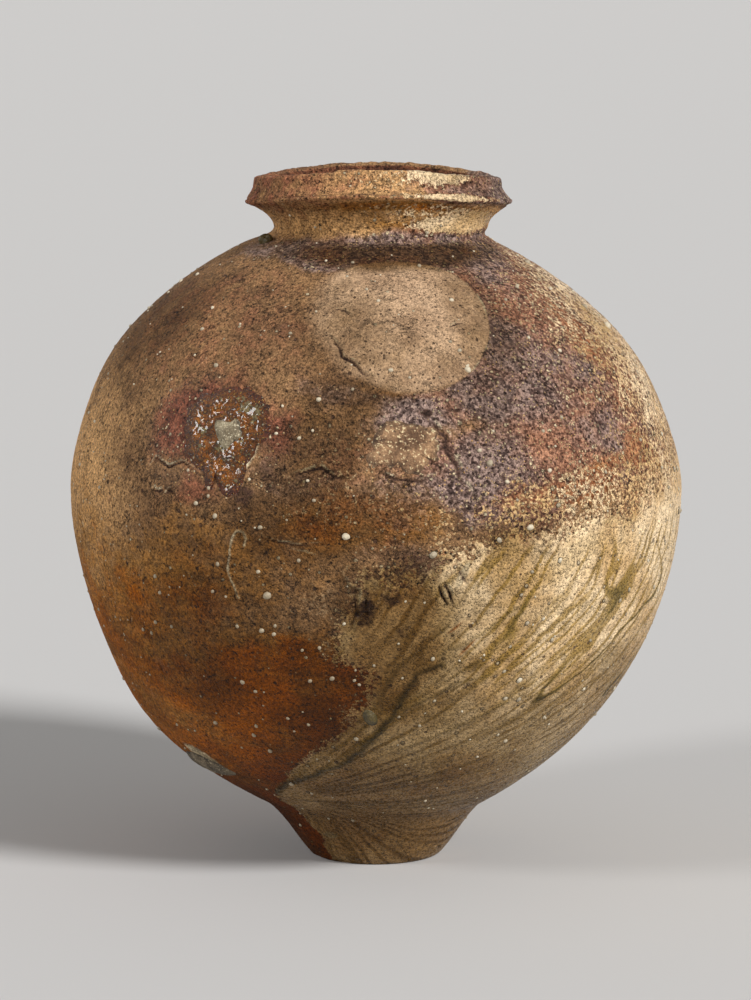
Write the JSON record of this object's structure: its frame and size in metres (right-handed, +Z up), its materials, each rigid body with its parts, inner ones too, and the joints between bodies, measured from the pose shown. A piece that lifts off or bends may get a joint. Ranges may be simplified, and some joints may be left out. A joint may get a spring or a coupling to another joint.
{
  "type": "stoneware jar",
  "caption": "Wood-fired stoneware storage jar, coil-built, with a small flared foot, a broad round belly, a short neck, a torn flange and an upright two-step rim.",
  "frame": {"origin": "centre of the foot's flat underside", "axes": "+Z up through the mouth, -Y towards the face with the pale round kiln mark, +X to the right of that face"},
  "size_m": [0.4026, 0.4053, 0.4589],
  "materials": {
    "foot_clay": "bare scorched clay, matte",
    "belly_clay": "orange fire colour under natural ash glaze, satin",
    "shoulder_clay": "rough ash crust, matte",
    "neck_clay": "wiped clay with a thin ash flash, matte",
    "rim_clay": "dry pink clay with ash crust, matte",
    "amber_glass": "pooled natural glaze, glossy",
    "green_glass": "bead of natural glaze, glossy",
    "clinker": "kiln clinker, dry",
    "clay_crust": "torn clay crust, matte",
    "feldspar": "half-melted feldspar, satin"
  },
  "bodies": {
    "root": {"floor_slab": "foot_clay", "foot_course": "foot_clay", "bowl_course": "belly_clay", "lower_wall_course": "belly_clay", "lower_belly_course": "belly_clay", "upper_belly_course": "belly_clay", "shoulder_course": "shoulder_clay", "crown_course": "shoulder_clay", "neck_collar": "neck_clay", "rim_band": "rim_clay", "amber_glass_pool": "amber_glass", "clinker_chip": "clinker", "crust_flake": "clay_crust", "wad_scar_flake": "clinker", "glass_tear": "green_glass", "neck_spur": "clinker", "feldspar_grain_01": "feldspar", "feldspar_grain_02": "feldspar", "feldspar_grain_03": "feldspar", "feldspar_grain_04": "feldspar", "feldspar_grain_05": "feldspar", "feldspar_grain_06": "feldspar", "feldspar_grain_07": "feldspar", "feldspar_grain_08": "feldspar", "feldspar_grain_09": "feldspar", "feldspar_grain_10": "feldspar", "feldspar_grain_11": "feldspar", "feldspar_grain_12": "feldspar"}
  },
  "joints": []
}
